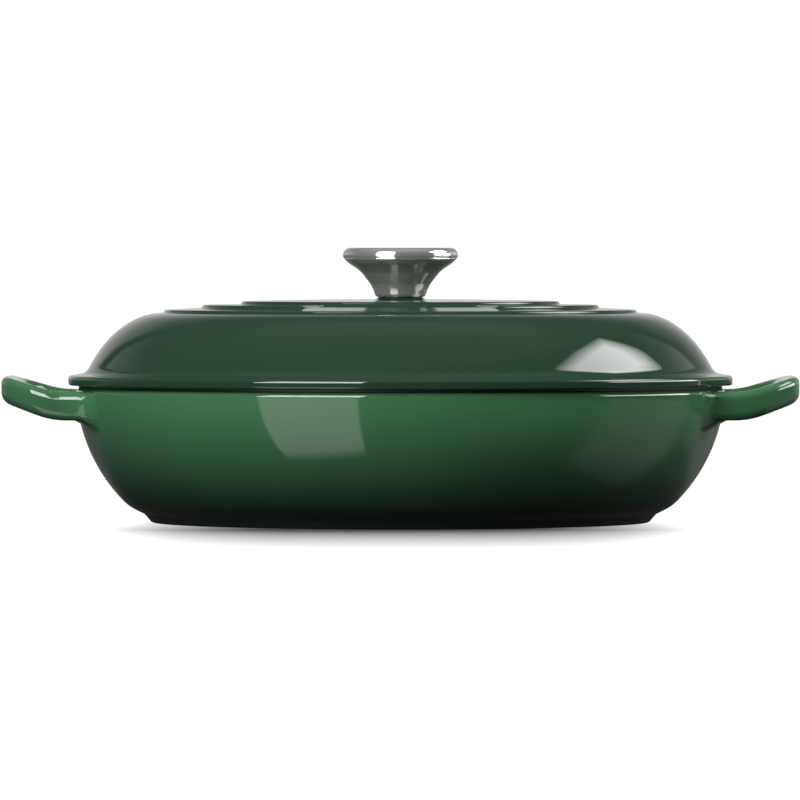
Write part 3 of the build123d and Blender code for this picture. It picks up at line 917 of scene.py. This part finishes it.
class OBJECT_OT_braiser_studio(bpy.types.Operator):
    """Sets the camera, the pale floor, the backdrop and the soft lights."""

    bl_idname = "object.braiser_studio"
    bl_label = "Studio"

    def execute(self, context):
        scene, studio = context.scene, context.scene.braiser_studio
        camera = make_object("camera", bpy.data.cameras.new("camera"))
        camera.data.lens, camera.data.sensor_width = studio.lens, 36.0
        camera.data.clip_end = 100.0
        point(camera, (studio.aim_side, -studio.eye_distance, studio.eye_height),
              (studio.aim_side, 0.0, studio.aim_height))
        scene.camera = camera

        # A white table top that glows as if lit from below, but for a painted soft shadow of
        # the pot. That painted shadow is darkest along a line under the front of the foot, and
        # fades away from it and towards its ends
        line, ends, core, fade = -0.12, 850.0, 0.022, 0.3
        material, tree, output = new_material("Satin white table top")
        pale = add(tree, "ShaderNodeBsdfDiffuse", {"Color": (0.088, 0.088, 0.088, 1.0)})
        place = add(tree, "ShaderNodeTexCoord").outputs["Object"]
        place = add(tree, "ShaderNodeSeparateXYZ", {0: place}).outputs
        ahead = maths(tree, "ABSOLUTE", maths(tree, "SUBTRACT", place["Y"], line))
        aside = maths(tree, "POWER", maths(tree, "ABSOLUTE", place["X"]), 4.0)
        # How brightly the table glows, held back for the painted shadow
        light = span(tree, maths(tree, "MULTIPLY_ADD", aside, ends, ahead), core, core + fade)
        glow_with_painted_shadow = add(tree, "ShaderNodeAddShader", {0: pale.outputs[0], 1: glow(tree, light)})
        # From below, the table top is clear
        under = add(tree, "ShaderNodeNewGeometry").outputs["Backfacing"]
        see_through(tree, output, maths(tree, "SUBTRACT", 1.0, under), glow_with_painted_shadow.outputs[0])
        floor = card("floor", square(studio.floor_size / 2, -0.05 * MM), material)
        floor.visible_glossy = floor.visible_diffuse = False
        # A painted shadow: a dark sheet that only mirror-like surfaces see, standing for the
        # shade on the table right beside the foot, which the foot mirrors
        material, tree, output = new_material("Painted shadow of the table beside the foot")
        place = add(tree, "ShaderNodeTexCoord").outputs["Object"]
        away = add(tree, "ShaderNodeVectorMath", {0: place}, operation="LENGTH").outputs["Value"]
        see_through(tree, output, span(tree, away, 0.12, 0.2, 1.0, 0.0, "SMOOTHSTEP"),
                    glow(tree, 0.025))
        painted_shadow_patch = card("painted_contact_shadow", square(0.21, -0.1 * MM), material)
        painted_shadow_patch.visible_camera = painted_shadow_patch.visible_diffuse = painted_shadow_patch.visible_shadow = False

        # White all round to the camera; to the object, a white backdrop behind and a dim room
        world = bpy.data.worlds.new("studio")
        world.use_nodes = True
        tree = world.node_tree
        tree.nodes.clear()
        way = add(tree, "ShaderNodeTexCoord").outputs["Generated"]
        way = add(tree, "ShaderNodeSeparateXYZ", {0: way}).outputs
        low = levels(tree, way["Z"], ((-0.35, 0.05), (-0.1, 0.12), (-0.02, 0.25), (0.02, 0.65),
                                      (0.08, 0.63), (0.2, 0.52), (0.36, 0.33), (0.5, 0.17),
                                      (0.65, 0.05)))
        behind = maths(tree, "MULTIPLY", span(tree, way["Y"], 0.1, 0.95), low)
        # A dark border round the backdrop, which draws a thin dark line on the lid
        slant = maths(tree, "MULTIPLY_ADD", way["Z"], 0.36, way["Y"])
        left = levels(tree, slant, ((0.9, 1.0), (0.935, 0.1), (0.95, 0.1), (0.985, 1.0)))
        right = levels(tree, slant, ((0.9, 1.7), (0.93, 0.45), (0.95, 0.45), (0.98, 0.62)))
        across = span(tree, way["X"], 0.1, 0.4)
        border = add(tree, "ShaderNodeMix", {0: across, 2: left, 3: right}).outputs[0]
        table = levels(tree, way["Z"], ((-0.02, 1.0), (0.12, 0.0)))
        behind = maths(tree, "MULTIPLY", behind, maths(tree, "MAXIMUM", border, table))
        above = levels(tree, way["Z"], ((-1.0, 0.08), (-0.9, 0.06), (-0.75, 0.04), (-0.1, 0.05),
                                        (0.45, 0.05), (0.75, 0.1), (0.9, 0.24), (0.985, 0.24)))
        room = maths(tree, "MAXIMUM", behind, above)
        seen = add(tree, "ShaderNodeLightPath").outputs["Is Camera Ray"]
        strength = add(tree, "ShaderNodeMix", {0: seen, 2: room, 3: 1.05}).outputs[0]
        back = add(tree, "ShaderNodeBackground", {0: (1, 1, 1, 1), 1: strength})
        tree.links.new(back.outputs[0], add(tree, "ShaderNodeOutputWorld").inputs[0])
        scene.world = world

        overhead = softbox("overhead_softbox", (0.0, 0.2, 2.2), (0, 0, 0), (3.2, 3.2), 68)
        overhead.visible_glossy = False
        softbox("front_left_softbox", (-1.0577, -1.7325, 1.2), (0, 0, 1.2), (1.366, 1.9), 109)
        # The right softbox is brightest in its middle, so its highlight has a soft edge
        for number, share in enumerate((0.7, 0.82, 0.94, 1.06, 1.18)):
            softbox(f"right_softbox_{number}", (1.162 + 0.002 * number, 0.12, 0.97),
                    (0.035, -0.165, 0.08), (0.94 * share, 0.5 * share), 2.6 * share ** 2)
        fill = softbox("right_fill", (1.9, 0.3, 0.5), (0, 0, 0.06), (0.8, 0.8), 30)
        fill.visible_glossy = False
        # The shiny table mirrors both softboxes into the lower part of the pot's side
        reflection("front_left_reflection", (-1.64, -1.37), (-0.512, -2.073), -0.01, -2.2, 1.8,
                   0.03)
        reflection("right_reflection", (0.81, -0.40), (0.71, 0.45), -0.01, -0.75, 0.35, 0.3)
        reflection("rear_right_reflection", (1.5, 0.8), (0.6, 1.6), -0.01, -0.5, 0.2, 0.4)
        # The foot of the right softbox lights the pot's lip and the top edge of the handle
        reflection("right_low_light", (1.14, -0.42), (1.0, 0.6), 0.09, 0.42, 9.0, 0.12)
        scene.view_settings.view_transform = "Standard"
        return {"FINISHED"}


class VIEW3D_PT_braiser(bpy.types.Panel):
    """Lists the braiser's pieces and their sizes."""

    bl_idname = "VIEW3D_PT_braiser"
    bl_label = "Braiser"
    bl_space_type = "VIEW_3D"
    bl_region_type = "UI"
    bl_category = "Braiser"

    def draw(self, context):
        for operator, name, _ in PIECES:
            self.layout.operator(operator.bl_idname)
            sizes = getattr(context.scene, name)
            for size in type(sizes).__annotations__:
                self.layout.prop(sizes, size)


PIECES = (
    (OBJECT_OT_braiser_pot, "braiser_pot", PotSizes),
    (OBJECT_OT_braiser_lid, "braiser_lid", LidSizes),
    (OBJECT_OT_braiser_knob, "braiser_knob", KnobSizes),
    (OBJECT_OT_braiser_fixing, "braiser_finishes", Finishes),
    (OBJECT_OT_braiser_studio, "braiser_studio", Studio),
)


def register():
    """Adds the groups of sizes, the operators and the panel."""
    for operator, name, group in PIECES:
        bpy.utils.register_class(group)
        setattr(bpy.types.Scene, name, PointerProperty(type=group))
        bpy.utils.register_class(operator)
    bpy.utils.register_class(VIEW3D_PT_braiser)


def unregister():
    """Takes them away again."""
    bpy.utils.unregister_class(VIEW3D_PT_braiser)
    for operator, name, group in PIECES:
        bpy.utils.unregister_class(operator)
        delattr(bpy.types.Scene, name)
        bpy.utils.unregister_class(group)


def main():
    """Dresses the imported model."""
    register()
    bpy.ops.object.braiser_studio()
    bpy.ops.object.braiser_pot()
    bpy.ops.object.braiser_lid()
    bpy.ops.object.braiser_knob()
    bpy.ops.object.braiser_fixing()


if __name__ == "__main__":
    main()
